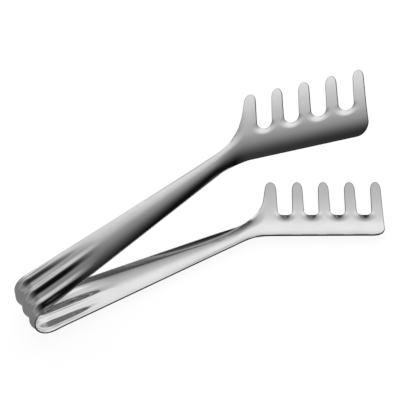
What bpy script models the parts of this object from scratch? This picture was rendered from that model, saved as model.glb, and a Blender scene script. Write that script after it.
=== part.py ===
# Spaghetti tongs: one strip of polished stainless sheet, cut to a flat blank, pressed
# to its section, and bent round at the back into a spring bow between two comb arms.
#
# The blank is laid out flat first. Its length runs along S, with S = 0 at the middle of
# the bow, and its width along Y. It is then pressed (every point moves inwards by its
# dent) and wrapped round the bow. Two fine seams part it into the lower arm, the bow and
# the upper arm. Each seam is a hinge, and the two hinges together bend as the strip does.
# Their lines lie level with the insides of the grooves, so closing only opens the seams.
#
# Frame, in metres: +X from the bow to the combs, +Y to the tine tips, +Z up. The lower
# arm lies on Z = 0, and the origin is on its underside, on the handle's middle line.

import bmesh
import bpy
import numpy as np
from math import ceil
from math import cos
from math import pi
from math import radians
from math import sin
from math import tan
from mathutils import Vector

# The sheet and the handle
SHEET = 0.0010             # thickness of the steel
DEBURR = 0.0002            # chamfer that takes the sharpness off every cut edge
HANDLE_LENGTH = 0.1362     # from the bow's tangent line to the kink below the comb
BOW_WIDTH = 0.0288         # width of the strip round the bow
NECK_WIDTH = 0.0116        # width where the handle meets the comb
KINK_RADIUS = 0.0140       # round in the near edge where handle and comb meet
ORIGIN_FROM_BOW = 0.0800   # the origin, measured along the handle from the tangent line

# The bow
BOW_RADIUS = 0.0140        # of the sheet's middle surface
SPLAY = radians(22.4)      # angle between the two arms when nothing squeezes them
SEAM_FROM_ARM = 0.0058     # from each tangent line to its seam, round the bow
SEAM = 0.00035             # gap between the bow and an arm

# The comb
COMB_TURN = radians(-27.5) # the comb's spine, turned from the handle's middle line
COMB_LENGTH = 0.0807       # along the spine, from the kink to the free end
COMB_CORNER = 0.0080       # radius of the spine's free corner
TINES = 5
FIRST_TINE = 0.0117        # middle of the first tine, along the spine
TINE_REACH = 0.0441        # from the spine's edge to the tips
WEB_REACH = 0.0177         # from the spine's edge to the bottoms of the gaps
TIP_WIDTH = 0.0064         # of a tine at its tip
ROOT_WIDTH = 0.0074        # of a tine at its root
SHOULDER_LEAN = radians(8) # lean of the first tine's outer flank
SHOULDER_RADIUS = 0.0280   # sweep from the handle's edge up to the first tine

# The pressing
RIB_PITCH = 0.0106         # between the three ridges that run round the bow
RIB_DEPTH = 0.0020         # of the two grooves between them
RIB_STEADY = 0.0060        # the ribs keep their full depth this far along each arm
RIB_END = 0.0470           # and have run out here
CROWN = 0.0022             # how far the handle's edges are rolled inwards
FLAT_WIDTH = 0.0040        # flat band down the middle of the handle's back
CURL = 0.0028              # how far the comb's spine edge is rolled inwards
CURL_WIDTH = 0.0130        # width of that roll
NECK_BLEND = 0.0140        # length over which the handle's section turns into the comb's
TINE_LEAN = 0.0024         # the tips stand this far inwards of the web
NOTCH_LIP = 0.0013         # how far the bottoms of the gaps are turned inwards
LIP_WIDTH = 0.0060         # width of that lip
LIP_FADE = 0.0110          # it has faded out this far up the tines' flanks

FULL_ROUND = 0.96          # share of a half width that its end's corners are rounded by

# Steps of the grid that the flat blank is cut on before it is pressed
ARC_STEP = radians(20)     # along the outline's round corners
RIBS_ACROSS = 6            # grid lines to one rib pitch
HANDLE_LINE = 0.0034       # between the lines along the plain stretch, beside its flat band
BOW_STEPS = 24             # facets round the bow
RIB_STEP = 0.0055          # along the ribbed stretch of an arm
HANDLE_STEP = 0.0130       # along the plain stretch

STEEL_COLOUR = (0.62, 0.62, 0.63, 1.0)
STEEL_ROUGHNESS = 0.16
MERGE = 0.00001            # vertices nearer than this are one

BOW_TURN = pi - SPLAY
HALF_BOW = BOW_RADIUS * BOW_TURN / 2
BOW_CENTRE = SHEET / 2 + BOW_RADIUS
HANDLE_TAPER = (BOW_WIDTH - NECK_WIDTH) / 2 / HANDLE_LENGTH
TINE_PITCH = (COMB_LENGTH - ROOT_WIDTH / 2 - FIRST_TINE) / (TINES - 1)

ROOT_GAP = (TINE_PITCH - ROOT_WIDTH) / 2

NAMES = ["lower_arm", "spring_bow", "upper_arm"]
SEAM_PLACES = [HALF_BOW - SEAM_FROM_ARM, SEAM_FROM_ARM - HALF_BOW]


# Flat blank

def comb_point(along, up):
    """Blank position of a point given along the comb's spine and up towards the tips."""
    x = HANDLE_LENGTH + along * cos(COMB_TURN) - up * sin(COMB_TURN)
    y = -NECK_WIDTH / 2 + along * sin(COMB_TURN) + up * cos(COMB_TURN)
    return HALF_BOW + x, y


def flank_along(up):
    """Where the first tine's outer flank lies along the spine, at a height over it."""
    return FIRST_TINE - TIP_WIDTH / 2 - (TINE_REACH - up) * tan(SHOULDER_LEAN)


def shoulder_height():
    """Height over the spine at which that flank's line meets the handle's far edge."""
    low = comb_point(flank_along(0), 0)
    high = comb_point(flank_along(TINE_REACH), TINE_REACH)
    edge = BOW_WIDTH / 2 - HANDLE_TAPER * (low[0] - HALF_BOW)
    climb = high[1] - low[1] + HANDLE_TAPER * (high[0] - low[0])
    return TINE_REACH * (edge - low[1]) / climb


def half_outline():
    """Corners of the lower half of the blank, each with the radius that rounds it."""
    half = BOW_WIDTH / 2
    corners = [(0, -half, 0), (HALF_BOW, -half, 0)]
    corners.append((*comb_point(0, 0), KINK_RADIUS))
    corners.append((*comb_point(COMB_LENGTH, 0), COMB_CORNER))
    tip = TIP_WIDTH / 2
    for number in reversed(range(TINES)):
        middle = FIRST_TINE + number * TINE_PITCH
        corners.append((*comb_point(middle + tip, TINE_REACH), tip * FULL_ROUND))
        if number > 0:
            gap = middle - TINE_PITCH / 2
            corners.append((*comb_point(middle - tip, TINE_REACH), tip * FULL_ROUND))
            corners.append((*comb_point(gap + ROOT_GAP, WEB_REACH), ROOT_GAP * FULL_ROUND))
            corners.append((*comb_point(gap - ROOT_GAP, WEB_REACH), ROOT_GAP * FULL_ROUND))
    foot = shoulder_height()
    corners.append((*comb_point(flank_along(TINE_REACH), TINE_REACH), tip * FULL_ROUND))
    corners.append((*comb_point(flank_along(foot), foot), SHOULDER_RADIUS))
    corners.append((HALF_BOW, half, 0))
    corners.append((0, half, 0))
    return corners


def rounded(corners):
    """Points along a run of straight edges whose corners are rounded by arcs."""
    points = [Vector(corners[0][:2])]
    for before, corner, after in zip(corners, corners[1:], corners[2:]):
        here = Vector(corner[:2])
        back = (Vector(before[:2]) - here).normalized()
        ahead = (Vector(after[:2]) - here).normalized()
        radius = corner[2]
        if radius == 0:
            points.append(here)
            continue
        half_angle = back.angle(ahead) / 2
        centre = here + (back + ahead).normalized() * radius / sin(half_angle)
        turn = pi - 2 * half_angle
        first = here + back * radius / tan(half_angle) - centre
        side = 1 if back.cross(ahead) < 0 else -1
        steps = max(2, ceil(turn / ARC_STEP))
        for step in range(steps + 1):
            angle = side * turn * step / steps
            turned = Vector((first.x * cos(angle) - first.y * sin(angle),
                             first.x * sin(angle) + first.y * cos(angle)))
            points.append(centre + turned)
    points.append(Vector(corners[-1][:2]))
    return points


def flat_blank():
    """The whole flat blank as a closed plate, with S along X and the sheet along Z."""
    lower = rounded(half_outline())
    upper = [Vector((-point.x, point.y)) for point in reversed(lower)]
    outline = lower[1:-1] + upper[1:-1]
    curve = bpy.data.curves.new("blank", "CURVE")
    curve.dimensions = "2D"
    curve.fill_mode = "BOTH"
    curve.extrude = SHEET / 2 - DEBURR
    curve.bevel_depth = DEBURR
    curve.bevel_resolution = 0
    curve.offset = -DEBURR
    spline = curve.splines.new("POLY")
    spline.points.add(len(outline) - 1)
    for place, point in zip(spline.points, outline):
        place.co = (point.x, point.y, 0, 1)
    spline.use_cyclic_u = True
    holder = bpy.data.objects.new("blank", curve)
    bpy.context.scene.collection.objects.link(holder)
    graph = bpy.context.evaluated_depsgraph_get()
    mesh = bpy.data.meshes.new_from_object(holder.evaluated_get(graph))
    bpy.data.objects.remove(holder)
    bpy.data.curves.remove(curve)
    plate = bmesh.new()
    plate.from_mesh(mesh)
    bpy.data.meshes.remove(mesh)
    bmesh.ops.remove_doubles(plate, verts=plate.verts, dist=MERGE)
    flat = [edge for edge in plate.edges
            if len(edge.link_faces) == 2
            and edge.link_faces[0].normal.dot(edge.link_faces[1].normal) > 0.9999
            and abs(edge.link_faces[0].normal.z) > 0.99]
    bmesh.ops.dissolve_edges(plate, edges=flat, use_verts=False)
    return plate


def slice_faces(plate, point, normal, wanted):
    """Cut the plate's wanted faces along a plane, without removing anything."""
    faces = [face for face in plate.faces if wanted(face.calc_center_median())]
    edges = {edge for face in faces for edge in face.edges}
    verts = {vert for face in faces for vert in face.verts}
    bmesh.ops.bisect_plane(plate, geom=list(verts) + list(edges) + faces, dist=MERGE,
                           plane_co=point, plane_no=normal)


def cut_grid(plate):
    """Cut the flat plate on a grid fine enough to take the pressing and the bow."""
    along_comb = {side: Vector((side * cos(COMB_TURN), sin(COMB_TURN), 0)) for side in (1, -1)}
    up_comb = {side: Vector((-side * sin(COMB_TURN), cos(COMB_TURN), 0)) for side in (1, -1)}
    kink = {side: Vector((side * comb_point(0, 0)[0], comb_point(0, 0)[1], 0)) for side in (1, -1)}

    def in_comb(centre, side):
        return side * centre.x > 0 and (centre - kink[side]).dot(along_comb[side]) > -NECK_BLEND

    def in_lips(centre, side):
        return abs((centre - kink[side]).dot(up_comb[side]) - WEB_REACH) < LIP_WIDTH

    rib_end = HALF_BOW + RIB_END
    for side in (1, -1):
        slice_faces(plate, Vector((side * rib_end, 0, 0)), Vector((1, 0, 0)), lambda c: True)
    for side in (1, -1):
        neck = kink[side] - along_comb[side] * NECK_BLEND
        slice_faces(plate, neck, along_comb[side], lambda c: side * c.x > rib_end)
    for step in range(BOW_STEPS + 1):
        across = HALF_BOW * (2 * step / BOW_STEPS - 1)
        slice_faces(plate, Vector((across, 0, 0)), Vector((1, 0, 0)), lambda c: True)
    for side in (1, -1):
        for step in range(1, ceil(RIB_END / RIB_STEP)):
            across = side * (HALF_BOW + step * RIB_END / ceil(RIB_END / RIB_STEP))
            slice_faces(plate, Vector((across, 0, 0)), Vector((1, 0, 0)), lambda c: True)
        plain = HANDLE_LENGTH - NECK_BLEND - RIB_END
        for step in range(1, ceil(plain / HANDLE_STEP)):
            across = side * (rib_end + step * plain / ceil(plain / HANDLE_STEP))
            slice_faces(plate, Vector((across, 0, 0)), Vector((1, 0, 0)),
                        lambda c: not in_comb(c, side))
    lines = int(BOW_WIDTH / 2 * RIBS_ACROSS / RIB_PITCH)
    for line in range(-lines, lines + 1):
        slice_faces(plate, Vector((0, line * RIB_PITCH / RIBS_ACROSS, 0)), Vector((0, 1, 0)),
                    lambda c: abs(c.x) < rib_end)
    for line in range(ceil((BOW_WIDTH - FLAT_WIDTH) / 2 / HANDLE_LINE)):
        for edge in (1, -1):
            level = edge * (FLAT_WIDTH / 2 + line * HANDLE_LINE)
            slice_faces(plate, Vector((0, level, 0)), Vector((0, 1, 0)),
                        lambda c: abs(c.x) > rib_end
                        and not in_comb(c, 1) and not in_comb(c, -1))
    for side in (1, -1):
        for share in (0.15, 0.35, 0.65, 1.0):
            height = kink[side] + up_comb[side] * CURL_WIDTH * share
            slice_faces(plate, height, up_comb[side], lambda c: in_comb(c, side))
        for share in (0.06, 0.3, 0.55, 0.8):
            reach = WEB_REACH + (TINE_REACH - WEB_REACH) * share
            slice_faces(plate, kink[side] + up_comb[side] * reach, up_comb[side],
                        lambda c: in_comb(c, side))
        for share in (-0.7, -0.3, 0.4, 0.75):
            lip = WEB_REACH + LIP_WIDTH * share
            slice_faces(plate, kink[side] + up_comb[side] * lip, up_comb[side],
                        lambda c: in_comb(c, side))
        for step in range(2 * TINES):
            place = FIRST_TINE + (step / 2 - 0.5) * TINE_PITCH
            slice_faces(plate, kink[side] + along_comb[side] * place, along_comb[side],
                        lambda c: in_comb(c, side))
            place = place + TINE_PITCH / 4
            slice_faces(plate, kink[side] + along_comb[side] * place, along_comb[side],
                        lambda c: in_comb(c, side) and in_lips(c, side))
        for share in (-0.6, -0.2, 0.1, 0.45):
            slice_faces(plate, kink[side] + along_comb[side] * NECK_BLEND * share,
                        along_comb[side], lambda c: in_comb(c, side))


# Pressing and bending

def smooth(start, end, value):
    """0 before start, 1 after end, and a smooth step between them."""
    share = np.clip((value - start) / (end - start), 0, 1)
    return share * share * (3 - 2 * share)


def larger(first, second, softness):
    """The larger of two distances, rounded off where they are alike."""
    return (first + second) / 2 + np.sqrt((first - second) ** 2 + softness ** 2) / 2


def rolled(distance, width):
    """1 at an edge, falling as a parabola to 0 at the given width inside it."""
    return np.clip(1 - distance / width, 0, 1) ** 2


def lipped(along, up):
    """1 round the bottom of a gap between two tines, falling to 0 at the lip's width."""
    gap = np.clip(np.round((along - FIRST_TINE) / TINE_PITCH - 0.5), 0, TINES - 2)
    beside = along - FIRST_TINE - (gap + 0.5) * TINE_PITCH
    below = np.clip(up - WEB_REACH - ROOT_GAP, None, 0)
    outside = np.clip(np.hypot(beside, below) - ROOT_GAP, 0, None)
    return rolled(outside, LIP_WIDTH) * (1 - smooth(WEB_REACH, WEB_REACH + LIP_FADE, up))


def dent(x, y):
    """How far the press moves the sheet inwards, x along an arm from the tangent line."""
    half = BOW_WIDTH / 2 - HANDLE_TAPER * np.clip(x, 0, None)
    from_kink = x - HANDLE_LENGTH
    from_edge = y + NECK_WIDTH / 2
    along = from_kink * cos(COMB_TURN) + from_edge * sin(COMB_TURN)
    up = -from_kink * sin(COMB_TURN) + from_edge * cos(COMB_TURN)
    to_flank = (along - flank_along(up)) * cos(SHOULDER_LEAN)
    to_near_edge = larger(y + half, up, KINK_RADIUS / 8)
    to_far_edge = larger(half - y, to_flank, SHOULDER_RADIUS / 5)
    into_comb = smooth(-NECK_BLEND, NECK_BLEND / 2, along)
    width = (half - FLAT_WIDTH / 2) * (1 - into_comb) + CURL_WIDTH * into_comb
    height = CROWN * (1 - into_comb) + CURL * into_comb
    shoulder_only = 1 - smooth(WEB_REACH, (WEB_REACH + TINE_REACH) / 2, up)
    rolls = rolled(to_near_edge, width) + rolled(to_far_edge, width) * shoulder_only
    lean = TINE_LEAN * np.clip((up - WEB_REACH) / (TINE_REACH - WEB_REACH), 0, None) ** 2
    ribs = RIB_DEPTH * (1 - np.cos(2 * pi * y / RIB_PITCH)) / 2
    plain = smooth(RIB_STEADY, RIB_END, x)
    return ribs * (1 - plain) + (height * rolls + lean + NOTCH_LIP * lipped(along, up)) * plain


def pressed(points):
    """Move flat blank points by the press, keeping the sheet's thickness square to it."""
    step = SHEET / 20
    s, y, level = points[:, 0], points[:, 1], points[:, 2]
    side = np.where(s < 0, -1.0, 1.0)
    x = np.abs(s) - HALF_BOW
    slope_x = (dent(x + step, y) - dent(x - step, y)) / (2 * step)
    slope_y = (dent(x, y + step) - dent(x, y - step)) / (2 * step)
    length = np.sqrt(1 + slope_x ** 2 + slope_y ** 2)
    depth = dent(x, y)
    s = s - side * level * slope_x / length
    y = y - level * slope_y / length
    return np.stack([s, y, depth + level / length], axis=1)


def bent(points):
    """Wrap pressed points round the bow; heights point inwards, to the other arm."""
    s, y, height = points[:, 0], points[:, 1], points[:, 2]
    turned = np.clip((HALF_BOW - s) / BOW_RADIUS, 0, BOW_TURN)
    beyond = np.where(s > 0, np.clip(s - HALF_BOW, 0, None), np.clip(-s - HALF_BOW, 0, None))
    onward = np.where(s > 0, 1.0, -1.0)
    x = -(BOW_RADIUS - height) * np.sin(turned) + beyond * onward * np.cos(turned)
    z = BOW_CENTRE - (BOW_RADIUS - height) * np.cos(turned) - beyond * onward * np.sin(turned)
    return np.stack([x - ORIGIN_FROM_BOW, y, z], axis=1)


def hinge_point(number):
    """The bending line of a seam, level with the insides of the grooves beside it."""
    place = bent(np.array([[SEAM_PLACES[number], 0.0, RIB_DEPTH + SHEET / 2]]))[0]
    return Vector(place.tolist())


# Pieces

def trim(plate, place, keep_side):
    """Cut the plate off square at a place along the strip and close the cut."""
    cut = bmesh.ops.bisect_plane(plate, geom=plate.verts[:] + plate.edges[:] + plate.faces[:],
                                 dist=MERGE, plane_co=(place, 0, 0),
                                 plane_no=(keep_side, 0, 0), clear_inner=True)
    rim = [item for item in cut["geom_cut"] if isinstance(item, bmesh.types.BMEdge)]
    bmesh.ops.edgeloop_fill(plate, edges=rim)


def make_piece(blank, number, steel, origin):
    """One rigid length of the strip: an arm, or the bow between its two seams."""
    plate = blank.copy()
    if number < len(SEAM_PLACES):
        trim(plate, SEAM_PLACES[number] + SEAM / 2, 1)
    if number > 0:
        trim(plate, SEAM_PLACES[number - 1] - SEAM / 2, -1)
    bmesh.ops.recalc_face_normals(plate, faces=plate.faces)
    points = np.array([vert.co[:] for vert in plate.verts])
    for vert, place in zip(plate.verts, bent(pressed(points))):
        vert.co = Vector(place.tolist()) - origin
    mesh = bpy.data.meshes.new(NAMES[number])
    plate.to_mesh(mesh)
    plate.free()
    mesh.shade_smooth()
    mesh.set_sharp_from_angle(angle=radians(30))
    mesh.materials.append(steel)
    return bpy.data.objects.new(NAMES[number], mesh)


def polished_steel(name):
    """Bright stainless steel."""
    steel = bpy.data.materials.new(name)
    steel.use_nodes = True
    shader = steel.node_tree.nodes["Principled BSDF"]
    shader.inputs["Base Color"].default_value = STEEL_COLOUR
    shader.inputs["Metallic"].default_value = 1.0
    shader.inputs["Roughness"].default_value = STEEL_ROUGHNESS
    return steel


def build():
    for thing in list(bpy.data.objects):
        bpy.data.objects.remove(thing)
    parts = bpy.data.collections.new("spaghetti_tongs")
    bpy.context.scene.collection.children.link(parts)
    blank = flat_blank()
    cut_grid(blank)
    parent = None
    parent_origin = Vector((0, 0, 0))
    for number, name in enumerate(NAMES):
        origin = hinge_point(number - 1) if number > 0 else Vector((0, 0, 0))
        steel = polished_steel(name + "_steel")
        piece = make_piece(blank, number, steel, origin)
        parts.objects.link(piece)
        piece.parent = parent
        piece.location = origin - parent_origin
        parent = piece
        parent_origin = origin
    blank.free()


build()
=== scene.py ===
# Spaghetti tongs of polished stainless sheet, dressed for a product picture.
#
# The strip is worked out as a flat blank: s runs along its length with 0 at the crown of
# the bow, y runs across it, and level goes through the sheet, positive towards the inside.
# Two skins stand for the three solids of the frame. They meet at the crown, and each one
# runs round the bow into its arm, as the one strip does.

from math import atan2, cos, pi, radians, sin, sqrt, tan

import bpy
import numpy as np
from mathutils import Matrix, Vector


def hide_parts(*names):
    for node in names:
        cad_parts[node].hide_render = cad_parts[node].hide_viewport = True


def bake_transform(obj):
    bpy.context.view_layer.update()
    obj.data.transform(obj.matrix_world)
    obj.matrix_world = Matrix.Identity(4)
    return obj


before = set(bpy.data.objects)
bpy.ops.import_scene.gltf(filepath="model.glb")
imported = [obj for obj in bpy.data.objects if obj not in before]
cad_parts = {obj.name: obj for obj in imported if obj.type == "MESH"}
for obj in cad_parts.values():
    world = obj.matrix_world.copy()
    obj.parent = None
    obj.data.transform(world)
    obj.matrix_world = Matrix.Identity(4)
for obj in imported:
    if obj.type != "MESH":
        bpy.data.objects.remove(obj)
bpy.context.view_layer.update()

# Flat outline of the strip. Sizes are in metres here and below
blank = {
    "handleLength": 0.1362,     # from the bow's tangent line to the kink below the comb
    "bowWidth": 0.0288,
    "neckWidth": 0.0116,
    "kinkRadius": 0.0380,       # round in the near edge where handle and comb meet
    "combTurn": radians(-27.5),
    "combLength": 0.0807,       # along the spine, from the kink to the free end
    "combCorner": 0.0080,
    "tines": 5,
    "firstTine": 0.0117,        # from the kink to the middle of the first tine
    "tineReach": 0.0441,        # from the spine to the tips
    "webReach": 0.0177,         # from the spine to the bottoms of the gaps
    "tipWidth": 0.0064,
    "tipLength": 0.0062,        # length of a tine's round tip
    "rootWidth": 0.0074,
    "shoulderLean": radians(8),     # lean of the first tine's outer flank
    "shoulderRadius": 0.0310,   # sweep from the handle's edge up to the first tine
    "fullRound": 0.96,          # share of their half width that tips and gaps are rounded over
}

# Spring bow, pressing and sheet. A place on an arm is measured from the bow's end
form = {
    "sheet": 0.0010,
    "bowRadius": 0.0140,
    "splay": radians(22.4),
    "originFromBow": 0.0800,    # from the bow's centre to the frame's origin
    "ribPitch": 0.0098,
    "ribDepth": 0.0013,
    "bowRibDepth": 0.0011,      # the grooves are shallower round the bow
    "ribDeepens": (-0.008, 0.004),  # places on the arm between which they get deeper
    "ribFloor": 0.0012,         # half the width of a groove's flat floor
    "ribCrest": 0.0004,         # roundness of the crests between the grooves
    "ribSteady": 0.0160,        # place on the arm where the grooves begin to fade
    "ribEnd": 0.0500,
    "ribTongue": 140.0,         # how much earlier the outer grooves end
    "earlyCrown": 0.55,         # share of the crown that the arms have beside the bow
    "earlyFrom": (-0.012, 0.008),   # places on the arm between which that comes in
    "crown": 0.0026,            # how far the handle's edges are rolled inwards
    "curl": 0.0032,             # how far the comb's spine is rolled inwards
    "curlWidth": 0.0180,
    "kinkEase": 1 / 17,         # softness of the roll in the kink, as a share of its radius
    "shoulderEase": 1 / 5,      # the same in the shoulder
    "neckBlend": 0.0140,        # before the kink, where the crown begins to turn into the curl
    "leanStart": 0.0135,        # height on the comb from which the tines lean inwards
    "tineLean": 0.0023,
    "notchLip": 0.0016,
    "lipWidth": 0.0050,
    "rollFade": 0.0340,         # height on the comb by which its far edge lies flat
    # The rounded cut edges are made rougher and painted near black: the black is painted shade, a
    # dark outline along them
    "roughShadedFrom": 0.60,           # sine of the rounding's angle from which the edge is rougher and painted dark
    "combRoughShadedFrom": -0.15,      # the punched edges of the comb are rougher and painted dark further round
    "roughShadedChange": 0.0100,       # both ways from the kink, where one turns into the other
    "roughShadedGain": 3,              # how fast the edge turns rough and painted dark past that sine
    "edgeRound": 0.00034,       # radius that polishing leaves on the cut edges
    "rim": 0.00050,             # width of the band that the rounded edge is carried on
    "bendStart": 0.0020,        # place on the arm where the skin begins to follow the bow
    "bendShare": 0.8,           # share of the way to the crown over which it does
}

# Fineness of the grids, and where the handle's meets the comb's
grid = {
    "across": 72,
    "edgeDraw": 0.22,           # how far the columns are drawn towards both edges
    "bowRows": 64,
    "ribRows": 56,
    "handleRows": 36,
    "neckRows": 26,
    "tineColumns": 18,
    "webRows": 8,
    "notchRows": 12,
    "flankRows": 14,
    "tipRows": 10,
    "kinkPoints": 40,
    "shoulderPoints": 80,
    "edgePoints": 6,            # points on each corner's quarter arc
    "neckRun": 0.0160,          # before the kink, where the sections begin to turn
    "seamHeight": 0.0125,       # height on the comb where the seam leaves the shoulder
    "seamPastKink": 0.0010,     # from the kink's arc to the seam's foot on the spine
    "slopeStep": 0.00005,       # step over which the slope of the pressing is taken
    "normalStep": 0.00002,      # step over which the normals are taken
    "hair": 1e-6,               # keeps rounding out of a comparison, and 0 out of a division
    "mapScale": 10,             # the skins' map is in decimetres
}

bowTurn = pi - form["splay"]
halfBow = form["bowRadius"] * bowTurn / 2
taper = (blank["bowWidth"] - blank["neckWidth"]) / 2 / blank["handleLength"]
pitch = (blank["combLength"] - blank["rootWidth"] / 2 - blank["firstTine"]) / (blank["tines"] - 1)
rootGap = (pitch - blank["rootWidth"]) / 2


# Outline

def fromComb(u, v):
    # A comb place (u along the spine, v up to the tips) turned and moved into the blank
    turn = blank["combTurn"]
    s = halfBow + blank["handleLength"] + u * cos(turn) - v * sin(turn)
    y = -blank["neckWidth"] / 2 + u * sin(turn) + v * cos(turn)
    return np.stack([s, y], axis=-1)


def toComb(s, y):
    # The same turn undone
    turn = blank["combTurn"]
    ahead = s - halfBow - blank["handleLength"]
    side = y + blank["neckWidth"] / 2
    return ahead * cos(turn) + side * sin(turn), side * cos(turn) - ahead * sin(turn)


def halfWidth(s):
    # Half the handle's width: steady round the bow, then falling evenly to the neck
    return blank["bowWidth"] / 2 - taper * np.clip(s - halfBow, 0, None)


def firstFlank(v):
    # Outer flank of the first tine: a straight line that leans back from the tip's corner
    foot = blank["firstTine"] - blank["tipWidth"] / 2
    return foot - (blank["tineReach"] - v) * tan(blank["shoulderLean"])


def fillet(corner, before, after, radius, grow, count):
    # Arc that rounds a corner, and its centre: the centre lies on the bisector at radius /
    # sin(half angle), and the arc sweeps from the edge before to the edge after, with the
    # radius changed by grow
    back = (before - corner) / np.linalg.norm(before - corner)
    ahead = (after - corner) / np.linalg.norm(after - corner)
    half = np.arccos(np.clip(back @ ahead, -1, 1)) / 2
    bisector = (back + ahead) / np.linalg.norm(back + ahead)
    centre = corner + bisector * radius / sin(half)
    first = corner + back * radius / tan(half) - centre
    last = corner + ahead * radius / tan(half) - centre
    start = atan2(first[1], first[0])
    sweep = (atan2(last[1], last[0]) - start + pi) % (2 * pi) - pi
    angle = start + sweep * np.linspace(0, 1, count)
    reach = radius + grow
    return centre + reach * np.stack([np.cos(angle), np.sin(angle)], axis=-1), centre


def alongPath(points, share):
    # Points of a broken line at the given shares of its length
    steps = np.linalg.norm(np.diff(points, axis=0), axis=1)
    length = np.concatenate([[0], np.cumsum(steps)])
    wanted = np.asarray(share) * length[-1]
    return np.stack([np.interp(wanted, length, points[:, 0]),
                     np.interp(wanted, length, points[:, 1])], axis=-1)


inset = form["rim"]
lean = blank["shoulderLean"]
flankTaper = atan2((blank["rootWidth"] - blank["tipWidth"]) / 2,
                   blank["tineReach"] - blank["webReach"])
endTaper = atan2((blank["rootWidth"] - blank["tipWidth"]) / 2, blank["tineReach"])
notchRound = rootGap * blank["fullRound"]
notchFlat = rootGap - notchRound * tan(pi / 4 - flankTaper / 2)

# The kink in the near edge and the shoulder in the far edge
bowEdge = blank["bowWidth"] / 2
kinkArc = fillet(fromComb(0.0, 0.0), np.array([halfBow, -bowEdge]),
                 fromComb(blank["combLength"], 0.0),
                 blank["kinkRadius"], inset, grid["kinkPoints"])[0]
lowFlank = fromComb(firstFlank(0.0), 0.0)
highFlank = fromComb(firstFlank(blank["tineReach"]), blank["tineReach"])
edgeThere = bowEdge - taper * (lowFlank[0] - halfBow)
climb = highFlank[1] - lowFlank[1] + taper * (highFlank[0] - lowFlank[0])
shoulderFoot = blank["tineReach"] * (edgeThere - lowFlank[1]) / climb
shoulderCorner = fromComb(firstFlank(shoulderFoot), shoulderFoot)
shoulderArc, shoulderCentre = fillet(shoulderCorner, np.array([halfBow, bowEdge]), highFlank,
                                     blank["shoulderRadius"], inset, grid["shoulderPoints"])
shoulderU, shoulderV = toComb(shoulderArc[:, 0], shoulderArc[:, 1])
turnU, turnV = toComb(shoulderCentre[0], shoulderCentre[1])

# Where handle grid and comb grid meet: a place on the shoulder's arc and one on the spine,
# just past the kink's arc, which ends at radius * tan(half the turn)
seamAt = int(np.argmax(shoulderV > grid["seamHeight"]))
seamTop = np.array([shoulderU[seamAt], shoulderV[seamAt]])
kinkReach = blank["kinkRadius"] * tan(-blank["combTurn"] / 2)
seamFoot = np.array([kinkReach + grid["seamPastKink"], inset])


def flankLine(number, side):
    # Straight side of a tine, drawn in by the rim: its place at v = 0 and its slope
    if side < 0 and number == 0:
        return firstFlank(0.0) + inset / cos(lean), tan(lean)
    if side > 0 and number == blank["tines"] - 1:
        return blank["combLength"] - inset / cos(endTaper), -tan(endTaper)
    slope = -side * tan(flankTaper)
    root = side * (blank["rootWidth"] / 2 - inset / cos(flankTaper))
    return blank["firstTine"] + number * pitch + root - slope * blank["webReach"], slope


def tipped(number, side, v):
    # A flank and its tip: a quarter ellipse tangent to the flank, whose middle lies in from
    # it by the root of (half width^2 + (slope * length)^2)
    start = blank["tineReach"] - blank["tipLength"]
    long = blank["tipLength"] - inset
    ends = [foot + slope * start for foot, slope in (flankLine(number, -1), flankLine(number, 1))]
    half = (ends[1] - ends[0]) / 2 * blank["fullRound"]
    foot, slope = flankLine(number, side)
    reach = sqrt(half ** 2 + (slope * long) ** 2)
    rise = half * np.sqrt(np.clip(1 - ((v - start) / long) ** 2, 0, 1))
    curve = ends[(side + 1) // 2] - side * (reach - rise)
    return np.where(v < start + abs(slope) * long ** 2 / reach, foot + slope * v, curve)


def tineSide(number, side, v):
    # Side of a tine's cell as a function of height: gap middle, notch arc, flank and tip;
    # the outer sides have the seam with the shoulder's arc, and the comb's round corner
    above = tipped(number, side, v)
    if side < 0 and number == 0:
        seam = seamFoot[0] + (seamTop[0] - seamFoot[0]) * (v - inset) / (seamTop[1] - inset)
        reach = blank["shoulderRadius"] + inset
        arc = turnU + np.sqrt(np.clip(reach ** 2 - (v - turnV) ** 2, 0, None))
        above = np.where(v < turnV - reach * sin(lean), arc, above)
        return np.where(v < seamTop[1], seam, above)
    if side > 0 and number == blank["tines"] - 1:
        corner = blank["combCorner"]
        reach = corner - inset
        low = blank["combLength"] - corner / tan(pi / 4 - endTaper / 2)
        arc = low + np.sqrt(np.clip(reach ** 2 - (corner - v) ** 2, 0, None))
        return np.where(v < corner + reach * sin(endTaper), arc, above)
    gap = blank["firstTine"] + (number + side / 2) * pitch
    reach = notchRound + inset
    low = blank["webReach"] + notchRound
    notch = gap - side * (notchFlat + np.sqrt(np.clip(reach ** 2 - (low - v) ** 2, 0, None)))
    above = np.where(v < low - reach * sin(flankTaper), notch, above)
    return np.where(v <= blank["webReach"] - inset + grid["hair"], gap, above)


# Pressing and bending

def smooth(start, end, value):
    # 0 before start, 1 after end, 3t^2 - 2t^3 between them
    share = np.clip((value - start) / (end - start), 0, 1)
    return share * share * (3 - 2 * share)


def larger(first, second, softness):
    # Rounded maximum: mean plus half the root of (difference^2 + softness^2)
    return (first + second) / 2 + np.sqrt((first - second) ** 2 + softness ** 2) / 2


def rolled(distance, width, power=2):
    # A power of a falling line, from 1 at an edge to 0 at the width inside it
    return np.clip(1 - distance / width, 0, 1) ** power


def lipped(u, v):
    # rolled() of the distance from the nearest gap's rounded bottom, times the squared
    # cosine of the direction below the gap's middle
    gap = np.clip(np.round((u - blank["firstTine"]) / pitch - 0.5), 0, blank["tines"] - 2)
    beside = u - blank["firstTine"] - (gap + 0.5) * pitch
    below = np.clip(blank["webReach"] + rootGap - v, 0, None)
    away = np.hypot(beside, below) + grid["hair"]
    return rolled(np.clip(away - rootGap, 0, None), form["lipWidth"]) * (below / away) ** 2


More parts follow.
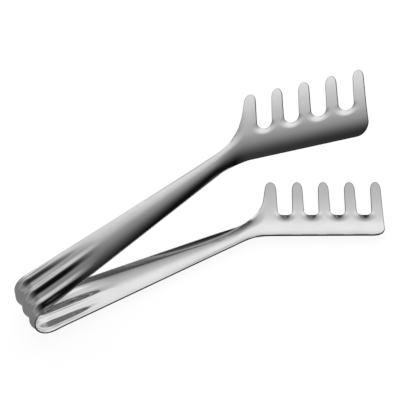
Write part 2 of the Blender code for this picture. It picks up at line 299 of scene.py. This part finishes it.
def ribbed(s, y):
    # Grooves between crests at y = 0 and every pitch from it: the wall's share t runs from
    # 0 at the flat floor to 1 at the rounded crest, and the depth left is 1 - t^2 (2 - t)
    crest = np.abs((y / form["ribPitch"] + 0.5) % 1 - 0.5) * form["ribPitch"]
    toFloor = form["ribPitch"] / 2 - form["ribFloor"]
    share = (toFloor - np.hypot(crest, form["ribCrest"])) / (toFloor - form["ribCrest"])
    share = np.clip(share, 0, 1)
    onArm = smooth(*form["ribDeepens"], np.abs(s) - halfBow)
    depth = form["bowRibDepth"] + (form["ribDepth"] - form["bowRibDepth"]) * onArm
    return depth * (1 - share * share * (2 - share))


def dent(s, y):
    # How far the press moves the sheet inwards: grooves near the bow that fade into rolled
    # edges, plus tines that lean with the square of their height, plus lips round the gaps
    x = np.abs(s) - halfBow
    half = halfWidth(np.abs(s))
    u, v = toComb(np.abs(s), y)
    toFlank = (u - firstFlank(v)) * cos(lean)
    toNear = larger(y + half, v, blank["kinkRadius"] * form["kinkEase"])
    toFar = larger(half - y, toFlank, blank["shoulderRadius"] * form["shoulderEase"])
    intoComb = smooth(-form["neckBlend"], form["neckBlend"] / 2, u)
    nearWidth = half * (1 - intoComb) + form["curlWidth"] * intoComb
    nearHeight = form["crown"] * (1 - intoComb) + form["curl"] * intoComb
    farHeight = form["crown"] * (1 - smooth(0, form["rollFade"], v))
    plain = smooth(form["ribSteady"], form["ribEnd"], x + form["ribTongue"] * y * y)
    rolls = (nearHeight * rolled(toNear, nearWidth, 2 + intoComb)
             + farHeight * rolled(toFar, half))
    up = (v - form["leanStart"]) / (blank["tineReach"] - form["leanStart"])
    leaning = form["tineLean"] * np.clip(up, 0, None) ** 2
    early = form["earlyCrown"] * smooth(*form["earlyFrom"], x)
    crowned = early + (1 - early) * plain
    return (ribbed(s, y) * (1 - plain) + rolls * crowned + leaning
            + form["notchLip"] * lipped(u, v))


def place(flat, level):
    # Blank to space: press (dent, with the level laid off square to the pressed sheet),
    # then wrap round the bow's radius; past the bow the arms run on straight
    s, y = flat[..., 0], flat[..., 1]
    step = grid["slopeStep"]
    slopeS = (dent(s + step, y) - dent(s - step, y)) / (2 * step)
    slopeY = (dent(s, y + step) - dent(s, y - step)) / (2 * step)
    length = np.sqrt(1 + slopeS ** 2 + slopeY ** 2)
    height = dent(s, y) + level / length
    s = s - level * slopeS / length
    y = y - level * slopeY / length
    turned = np.clip((halfBow - s) / form["bowRadius"], 0, bowTurn)
    beyond = np.clip(np.abs(s) - halfBow, 0, None) * np.where(s > 0, 1, -1)
    arm = form["bowRadius"] - height
    x = -arm * np.sin(turned) + beyond * np.cos(turned) - form["originFromBow"]
    z = form["sheet"] / 2 + form["bowRadius"] - arm * np.cos(turned) - beyond * np.sin(turned)
    return np.stack([x, y, z], axis=-1)


def unit(vectors):
    # Each vector divided by its own length
    return vectors / np.linalg.norm(vectors, axis=-1, keepdims=True)


def inwards(flat):
    # Unit normal of the bent sheet on its inner side: cross product of its two tangents
    step = grid["normalStep"]
    ahead = place(flat + [step, 0], 0.0) - place(flat - [step, 0], 0.0)
    across = place(flat + [0, step], 0.0) - place(flat - [0, step], 0.0)
    return unit(np.cross(ahead, across))


# Grids of the flat blank

def crossShares():
    # Shares of the width: even steps, mixed with half a cosine wave's, which are shorter
    # at both edges
    even = np.linspace(0, 1, grid["across"] + 1)
    draw = grid["edgeDraw"]
    return (1 - draw) * even + draw * (1 - np.cos(pi * even)) / 2


def handleGrid():
    # Sections square to the strip from the crown to the neck, then turning to the seam;
    # each is a straight line from the near edge to the far edge
    ribEnd = halfBow + form["ribEnd"]
    neckStart = halfBow + blank["handleLength"] - grid["neckRun"]
    rows = np.concatenate([np.linspace(0, halfBow, grid["bowRows"], endpoint=False),
                           np.linspace(halfBow, ribEnd, grid["ribRows"], endpoint=False),
                           np.linspace(ribEnd, neckStart, grid["handleRows"], endpoint=False)])
    edge = halfWidth(rows) - inset
    near = np.stack([rows, -edge], axis=-1)
    far = np.stack([rows, edge], axis=-1)
    startEdge = halfWidth(neckStart) - inset
    nearPath = np.concatenate([[[neckStart, -startEdge]], kinkArc,
                               [fromComb(seamFoot[0], seamFoot[1])]])
    farPath = np.concatenate([[[neckStart, startEdge]], shoulderArc[:seamAt + 1]])
    shares = np.linspace(0, 1, grid["neckRows"])
    near = np.concatenate([near, alongPath(nearPath, shares)])
    far = np.concatenate([far, alongPath(farPath, shares)])
    share = crossShares()[None, :, None]
    return near[:, None] * (1 - share) + far[:, None] * share


def combRows():
    # Heights of the comb's rows: along the seam, up the web, then by angle round the
    # notches, evenly up the flanks and by angle round the tips
    seam = inset + (seamTop[1] - inset) * crossShares()
    floor = blank["webReach"] - inset
    web = np.linspace(seamTop[1], floor, grid["webRows"] + 1)[1:]
    reach = notchRound + inset
    angle = np.linspace(0, pi / 2 - flankTaper, grid["notchRows"] + 1)[1:]
    notch = blank["webReach"] + notchRound - reach * np.cos(angle)
    tipStart = blank["tineReach"] - blank["tipLength"]
    flank = np.linspace(notch[-1], tipStart, grid["flankRows"] + 1)[1:]
    angle = np.linspace(0, pi / 2, grid["tipRows"] + 1)[1:]
    tip = tipStart + (blank["tipLength"] - inset) * np.sin(angle)
    return np.concatenate([seam, web]), np.concatenate([notch, flank, tip])


def cellGrid(number, rows):
    # A tine's cell: every row runs straight from its left edge to its right edge
    left = tineSide(number, -1, rows)[:, None]
    right = tineSide(number, 1, rows)[:, None]
    share = np.linspace(0, 1, grid["tineColumns"] + 1)[None, :]
    u = left * (1 - share) + right * share
    return fromComb(u, rows[:, None])


def flatStrip():
    # All points of the flat half strip, the index grids over them, and the outline's run:
    # along the near edge and the free end, down and up the tines, and back to the crown
    webRows, tineRows = combRows()
    columns = grid["tineColumns"]
    cells = [cellGrid(number, webRows) for number in range(blank["tines"])]
    web = np.concatenate([cells[0]] + [cell[:, 1:] for cell in cells[1:]], axis=1)
    tines = [cellGrid(number, tineRows) for number in range(blank["tines"])]
    handle = handleGrid()[:-1]
    points = np.concatenate([part.reshape(-1, 2) for part in [web, handle] + tines])
    starts = np.cumsum([0, web[..., 0].size, handle[..., 0].size]
                       + [tine[..., 0].size for tine in tines])
    webIndex = np.arange(starts[1]).reshape(web.shape[:2])
    handleIndex = starts[1] + np.arange(handle[..., 0].size).reshape(handle.shape[:2])
    handleIndex = np.concatenate([handleIndex, webIndex[:grid["across"] + 1, 0][None]])
    index = [handleIndex, webIndex.T]
    outline = [handleIndex[:, 0], webIndex[0, 1:], webIndex[1:, -1]]
    run = []
    for number, tine in enumerate(tines):
        own = starts[2 + number] + np.arange(tine[..., 0].size).reshape(tine.shape[:2])
        root = webIndex[-1, number * columns:(number + 1) * columns + 1]
        full = np.concatenate([root[None], own])
        index.append(full.T)
        run = [full[1:, -1], full[-1, -2::-1], full[-2::-1, 0]] + run
    outline = outline + run + [webIndex[-2:grid["across"] - 1:-1, 0], handleIndex[-2::-1, -1]]
    return points, index, np.concatenate(outline)


# Skins

def quads(index):
    # Faces of an index grid, turning from its first direction to its second
    corners = [index[:-1, :-1], index[1:, :-1], index[1:, 1:], index[:-1, 1:]]
    return np.stack(corners, axis=-1).reshape(-1, 4)


def edgeProfile():
    # Rounded edge: offset past the inset outline, level, and tilt of its normal from the
    # outer face to the inner one: quarter arcs at both corners
    radius = form["edgeRound"]
    half = form["sheet"] / 2
    angle = np.linspace(0, pi / 2, grid["edgePoints"])
    offset = inset - radius + radius * np.sin(angle)
    level = -(half - radius) - radius * np.cos(angle)
    offset = np.concatenate([offset, offset[::-1]])
    level = np.concatenate([level, -level[::-1]])
    tilt = np.concatenate([angle, pi - angle[::-1]])
    return offset, level, tilt


def outwardOf(points):
    # Unit normal in the blank's plane, to the right of the outline's run
    steps = unit(np.diff(points, axis=0))
    ahead = np.concatenate([steps, steps[-1:]])
    back = np.concatenate([steps[:1], steps])
    along = unit(ahead + back)
    return np.stack([along[:, 1], -along[:, 0]], axis=-1)


def rimNormals(path, outward, normal, tilt, turn):
    # Normals round the edge: sine of the tilt times the way out of the bent sheet, minus
    # cosine of the tilt times the inner face's normal
    step = grid["normalStep"]
    wayOut = unit(place((path + outward * step) * turn, 0.0)
                  - place((path - outward * step) * turn, 0.0))
    return unit(np.sin(tilt)[None, :, None] * wayOut[:, None]
                - np.cos(tilt)[None, :, None] * normal[:, None])


def shellFaces(index, outline, count, rimShape):
    # Faces of the closed shell, whose points are the inner ones, the outer ones and the
    # rim's: the inner face, the same turned over, the rim, a cap at the crown and the
    # rim's two ends there
    rim = 2 * count + np.arange(rimShape[0] * rimShape[1]).reshape(rimShape)
    rim = np.concatenate([count + outline[:, None], rim, outline[:, None]], axis=1)
    inner = [quads(part) for part in index]
    outer = [count + part[:, ::-1] for part in inner]
    crown = index[0][0]
    cap = np.stack([crown[:-1], crown[1:], count + crown[1:], count + crown[:-1]], axis=-1)
    faces = np.concatenate(inner + outer + [quads(rim), cap]).tolist()
    return faces + [rim[0].tolist(), rim[-1][::-1].tolist()]


def roughShadedRim(path, tilt):
    # How rough the rim is made and how far it is painted near black, a painted shade for a
    # dark outline: it rises with the sine of the tilt, from the handle's start sine and the
    # comb's lower one
    change = form["roughShadedChange"]
    onComb = smooth(-change, change, toComb(path[:, 0], path[:, 1])[0])
    start = form["roughShadedFrom"] * (1 - onComb) + form["combRoughShadedFrom"] * onComb
    return np.clip((np.sin(tilt)[None, :] - start[:, None]) * form["roughShadedGain"], 0, 1)


def layOut(mesh, flat):
    # The map is the flat blank itself, so marks follow the strip
    layer = mesh.uv_layers.new(name="flatBlank")
    corner = np.zeros(len(mesh.loops), np.int32)
    mesh.loops.foreach_get("vertex_index", corner)
    places = flat[corner] * grid["mapScale"]
    layer.data.foreach_set("uv", places.astype(np.float32).ravel())


def makeSkin(name, side):
    # One half of the strip as a closed shell: inner face, outer face, rounded rim carried
    # along the outline, and a cap at the crown. side is 1 below and -1 above
    flat, index, outline = flatStrip()
    offset, level, tilt = edgeProfile()
    path = flat[outline]
    outward = outwardOf(path)
    rimFlat = path[:, None] + outward[:, None] * offset[None, :, None]
    turn = np.array([side, 1.0])
    half = form["sheet"] / 2
    inner = place(flat * turn, half)
    outer = place(flat * turn, -half)
    rim = place(rimFlat * turn, level)
    normal = inwards(flat * turn)
    rimNormal = rimNormals(path, outward, normal[outline], tilt, turn)
    faces = shellFaces(index, outline, len(flat), rim.shape[:2])
    if side < 0:
        faces = [face[::-1] for face in faces]
    points = np.concatenate([inner, outer, rim.reshape(-1, 3)])
    normals = np.concatenate([normal, -normal, rimNormal.reshape(-1, 3)])
    mesh = bpy.data.meshes.new(name)
    mesh.from_pydata(points.tolist(), [], faces)
    mesh.shade_smooth()
    layOut(mesh, np.concatenate([flat, flat, rimFlat.reshape(-1, 2)]))
    # the rim's share of roughness and painted dark outline (painted shade); inner and outer faces
    # get none
    edge = np.concatenate([np.zeros(2 * len(flat)), roughShadedRim(path, tilt).ravel()])
    roughShadedLayer = mesh.attributes.new("cutEdge", "FLOAT", "POINT")
    roughShadedLayer.data.foreach_set("value", edge.astype(np.float32))
    mesh.normals_split_custom_set_from_vertices(normals.tolist())
    skin = bpy.data.objects.new(name, mesh)
    bpy.context.scene.collection.objects.link(skin)
    print(name, len(mesh.vertices), "points")
    return skin


# Shader maths

class Wire:
    # A socket that takes part in sums: every operator adds a Math node
    def __init__(self, tree, socket):
        self.tree = tree
        self.socket = socket

    def math(self, operation, first, second):
        return node(self.tree, "ShaderNodeMath", {"operation": operation}, {0: first, 1: second})

    def __add__(self, other):
        return self.math("ADD", self, other)

    def __radd__(self, other):
        return self.math("ADD", other, self)

    def __sub__(self, other):
        return self.math("SUBTRACT", self, other)

    def __rsub__(self, other):
        return self.math("SUBTRACT", other, self)

    def __mul__(self, other):
        return self.math("MULTIPLY", self, other)

    def __rmul__(self, other):
        return self.math("MULTIPLY", other, self)


def node(tree, kind, settings, inputs, output=0):
    # Adds a node: its settings first, then the values or links of its sockets
    made = tree.nodes.new(kind)
    for name, value in settings.items():
        if name == "stops":
            elements = made.color_ramp.elements
            while len(elements) < len(value):
                elements.new(0.5)
            for stop, (where, shade) in zip(elements, value):
                stop.position = where
                stop.color = (shade, shade, shade, 1)
        else:
            setattr(made, name, value)
    for name, value in inputs.items():
        socket = made.inputs[name]
        if isinstance(value, Wire):
            tree.links.new(value.socket, socket)
        else:
            socket.default_value = value
    return Wire(tree, made.outputs[output])


def mixed(tree, factor, first, second):
    # Colour that goes from the first to the second as the factor goes from 0 to 1
    return node(tree, "ShaderNodeMix", {"data_type": "RGBA"},
                {"Factor": factor, "A": first, "B": second}, "Result")


def split(tree, vector, axes):
    # The parts of a vector that the letters name
    return [node(tree, "ShaderNodeSeparateXYZ", {}, {"Vector": vector}, axis) for axis in axes]


def ramp(tree, value, span, stops):
    # Piecewise straight curve: the value is scaled from its span to the ramp's 0..1
    low, high = span
    scaled = [((where - low) / (high - low), shade) for where, shade in stops]
    return node(tree, "ShaderNodeValToRGB", {"stops": scaled},
                {"Fac": (value - low) * (1 / (high - low))})


# Polished steel
steel = {
    "light": (0.74, 0.74, 0.75, 1),
    "dull": (0.66, 0.66, 0.67, 1),
    # rounded cut edges: near black, a painted shade that draws a dark outline along them
    "edge": (0.035, 0.035, 0.037, 1),
    "roughness": 0.07,
    "edgeRoughness": 0.22,
    "grainStretch": (1.5, 160.0, 1),    # along and across the strip
    "grainScale": 3.0,
    "grainDetail": 3.0,
    "grainRoughness": 0.05,
    "grainTone": 0.5,
    "grainBump": 0.5,
    "grainDepth": 0.000002,
    "cloudScale": 70.0,
    "cloudDetail": 4.0,
    "smudgeStops": [(0.42, 0.0), (0.72, 1.0)],
    "smudgeRoughness": 0.04,    # how much rougher the handled patches are
    "smudgeTone": 0.6,
}


def makeSteel():
    # Bright sheet: polishing lines along the strip from stretched noise, soft smudges from
    # a clipped cloud, and cut edges from the skins' own attribute that are rougher and painted
    # near black, a painted dark outline
    material = bpy.data.materials.new("polishedSteel")
    material.use_nodes = True
    tree = material.node_tree
    shader = tree.nodes["Principled BSDF"]
    shader.inputs["Metallic"].default_value = 1.0
    flat = node(tree, "ShaderNodeUVMap", {"uv_map": "flatBlank"}, {})
    stretched = node(tree, "ShaderNodeMapping", {},
                     {"Vector": flat, "Scale": steel["grainStretch"]})
    grain = node(tree, "ShaderNodeTexNoise", {},
                 {"Vector": stretched, "Scale": steel["grainScale"],
                  "Detail": steel["grainDetail"]})
    spot = node(tree, "ShaderNodeTexCoord", {}, {}, "Object")
    cloud = node(tree, "ShaderNodeTexNoise", {},
                 {"Vector": spot, "Scale": steel["cloudScale"], "Detail": steel["cloudDetail"]})
    smudge = node(tree, "ShaderNodeValToRGB", {"stops": steel["smudgeStops"]}, {"Fac": cloud})
    # share of the rim that is rougher and painted dark (painted shade), from the skins' attribute
    roughShadedShare = node(tree, "ShaderNodeAttribute", {"attribute_name": "cutEdge"}, {}, "Fac")
    wave = grain - 0.5          # the noise swings about a half
    rough = (steel["roughness"] + smudge * steel["smudgeRoughness"]
             + wave * steel["grainRoughness"]
             + roughShadedShare * (steel["edgeRoughness"] - steel["roughness"]))
    worn = smudge * steel["smudgeTone"] + wave * steel["grainTone"]
    face = mixed(tree, worn, steel["light"], steel["dull"])
    # painted shade: the rim is coloured near black by that share, for a dark outline
    tone = mixed(tree, roughShadedShare, face, steel["edge"])
    bump = node(tree, "ShaderNodeBump", {},
                {"Strength": steel["grainBump"], "Distance": steel["grainDepth"],
                 "Height": grain})
    tree.links.new(tone.socket, shader.inputs["Base Color"])
    tree.links.new(rough.socket, shader.inputs["Roughness"])
    tree.links.new(bump.socket, shader.inputs["Normal"])
    return material


# Camera of the photograph, as fitted: angles in radians, focal length and sensor in mm
lens = {
    "azimuth": -0.489805686,
    "elevation": 0.852360057,
    "roll": 0.00455077226,
    "distance": 1.0541549,
    "right": 0.10443129,        # how far it stands aside of the fit's origin
    "up": 0.0461643798,
    "offset": (0.0800, -0.0304, -0.0023),   # the frame's origin in the fit's coordinates
    "focal": 158.5896,
    "sensor": 36,
    "clipEnd": 20,
}


def makeCamera():
    # The way back is (sin a cos e, -cos a cos e, sin e) for azimuth a and elevation e. Right
    # is level before both cross axes turn by the roll, and the spot is a sum of the three
    azimuth, elevation, roll = lens["azimuth"], lens["elevation"], lens["roll"]
    back = Vector((sin(azimuth) * cos(elevation), -cos(azimuth) * cos(elevation), sin(elevation)))
    right = Vector((cos(azimuth), sin(azimuth), 0))
    above = back.cross(right)
    turnedRight = right * cos(roll) + above * sin(roll)
    turnedAbove = above * cos(roll) - right * sin(roll)
    spot = (turnedRight * lens["right"] + turnedAbove * lens["up"] + back * lens["distance"]
            - Vector(lens["offset"]))
    data = bpy.data.cameras.new("camera")
    data.lens = lens["focal"]
    data.sensor_width = lens["sensor"]
    data.clip_end = lens["clipEnd"]
    camera = bpy.data.objects.new("camera", data)
    bpy.context.scene.collection.objects.link(camera)
    turn = Matrix((turnedRight, turnedAbove, back)).transposed()
    camera.matrix_world = Matrix.Translation(spot) @ turn.to_4x4()
    bpy.context.scene.camera = camera


# Studio light, as the steel sees it: white on the far side, fading over the top to dark on
# the near side and light again low in front, weaker towards the bow, with a grey card at
# the bow's side. The camera sees plain white
studio = {
    "swing": radians(14),       # the light's edge turns with the sideways direction
    # angle over the far horizon in degrees, then brightness
    "overheadSpan": (-30, 210),
    "overhead": [(-30, 0.45), (0, 0.85), (20, 1.0), (40, 0.99), (50, 0.84), (60, 0.64),
                 (70, 0.565), (80, 0.43), (90, 0.25), (100, 0.09), (110, 0.012), (122, 0.008),
                 (134, 0.20), (148, 0.45), (170, 0.75)],
    "sideSpan": (-1, 1),
    # sideways direction from the bow's side (-1) to the combs' side (1), then brightness
    "sideways": [(-1.0, 0.14), (-0.92, 0.09), (-0.8, 0.09), (-0.65, 0.20), (-0.5, 0.33),
                 (-0.35, 0.53), (-0.2, 0.70), (-0.05, 0.90), (0.1, 0.92), (0.25, 0.94),
                 (0.4, 0.97), (0.6, 0.95), (1.0, 0.86)],
    # the grey card, by the same direction and by the upward one
    "bowSide": [(-0.9, 0.25), (-0.75, 0.22), (-0.6, 0.07), (-0.45, 0.002)],
    "bowSideHeight": [(0.35, 1.0), (0.62, 0.34), (0.80, 0.28), (0.92, 0.0)],
    "level": 1.12,
}


def makeStudio():
    # Brightness of a direction: overhead curve of the angle about the X axis, times the
    # sideways curve of its X part, plus the card's two curves multiplied
    world = bpy.data.worlds.new("studio")
    bpy.context.scene.world = world
    world.use_nodes = True
    tree = world.node_tree
    background = tree.nodes["Background"]
    way = node(tree, "ShaderNodeTexCoord", {}, {}, "Generated")
    x, y, z = split(tree, way, "XYZ")
    angle = z.math("ARCTAN2", z, y) - x * studio["swing"]
    overhead = ramp(tree, angle, [radians(degrees) for degrees in studio["overheadSpan"]],
                    [(radians(degrees), shade) for degrees, shade in studio["overhead"]])
    sideways = ramp(tree, x, studio["sideSpan"], studio["sideways"])
    bowSide = (ramp(tree, x, studio["sideSpan"], studio["bowSide"])
               * ramp(tree, z, studio["sideSpan"], studio["bowSideHeight"]))
    shade = (overhead * sideways + bowSide) * studio["level"]
    seen = node(tree, "ShaderNodeLightPath", {}, {}, "Is Camera Ray")
    colour = mixed(tree, seen, shade, (1, 1, 1, 1))
    tree.links.new(colour.socket, background.inputs["Color"])


# Pale floor. The steel sees it paler behind the tongs, dark just in front of them and paler
# again far in front
paleFloor = {
    "reach": 3.0,
    "level": -0.0002,
    "colour": (0.3, 0.3, 0.3, 1),
    "roughness": 0.9,
    "glow": (0.90, 0.90, 0.90, 1),      # what the camera sees besides the light on it
    # in the steel: place from front to back, then brightness
    "frontSpan": (-0.1, 0.1),
    "front": [(-0.08, 0.0), (-0.02, 1.0)],
    "behindSpan": (-0.1, 0.4),
    "behind": [(0.0, 0.14), (0.10, 0.22), (0.30, 0.50)],
    "behindSlant": 0.8,         # how much a place towards the combs counts as further back
    "aheadSpan": (-1.5, 0.0),
    "ahead": [(-1.2, 0.5), (-0.4, 0.0)],
}


def makeFloor():
    # One large face. It glows for the camera, and by its curves for glossy rays: the front
    # curve of y times the behind curve of y + slant x, plus the ahead curve of y
    reach, level = paleFloor["reach"], paleFloor["level"]
    corners = [(-reach, -reach), (reach, -reach), (reach, reach), (-reach, reach)]
    mesh = bpy.data.meshes.new("floor")
    mesh.from_pydata([(x, y, level) for x, y in corners], [], [(0, 1, 2, 3)])
    floor = bpy.data.objects.new("floor", mesh)
    bpy.context.scene.collection.objects.link(floor)
    material = bpy.data.materials.new("paleFloor")
    material.use_nodes = True
    tree = material.node_tree
    shader = tree.nodes["Principled BSDF"]
    shader.inputs["Base Color"].default_value = paleFloor["colour"]
    shader.inputs["Roughness"].default_value = paleFloor["roughness"]
    shader.inputs["Specular IOR Level"].default_value = 0.0
    shader.inputs["Emission Strength"].default_value = 1.0
    spot = node(tree, "ShaderNodeTexCoord", {}, {}, "Object")
    x, y = split(tree, spot, "XY")
    behind = ramp(tree, y + x * paleFloor["behindSlant"], paleFloor["behindSpan"],
                  paleFloor["behind"])
    inSteel = (ramp(tree, y, paleFloor["frontSpan"], paleFloor["front"]) * behind
               + ramp(tree, y, paleFloor["aheadSpan"], paleFloor["ahead"]))
    glossy = node(tree, "ShaderNodeLightPath", {}, {}, "Is Glossy Ray")
    seen = node(tree, "ShaderNodeLightPath", {}, {}, "Is Camera Ray")
    glow = mixed(tree, seen, inSteel * glossy, paleFloor["glow"])
    tree.links.new(glow.socket, shader.inputs["Emission Color"])
    mesh.materials.append(material)


def makeTongs():
    # Two skins in the steel finish; the imported solids that they stand for are hidden
    finish = makeSteel()
    lower = makeSkin("lowerStrip", 1)
    upper = makeSkin("upperStrip", -1)
    crown = place(np.array([0.0, 0.0]), 0.0)
    lowerStart = place(np.array([halfBow + form["bendStart"], 0.0]), 0.0)
    upperStart = place(np.array([-halfBow - form["bendStart"], 0.0]), 0.0)
    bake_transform(lower)
    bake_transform(upper)
    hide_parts("lower_arm", "spring_bow")
    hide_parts("upper_arm")
    for skin in (lower, upper):
        skin.data.materials.append(finish)


makeCamera()
print("camera set")
makeStudio()
makeFloor()
print("studio set")
makeTongs()
print("tongs made")
bpy.context.scene.view_settings.view_transform = "Standard"
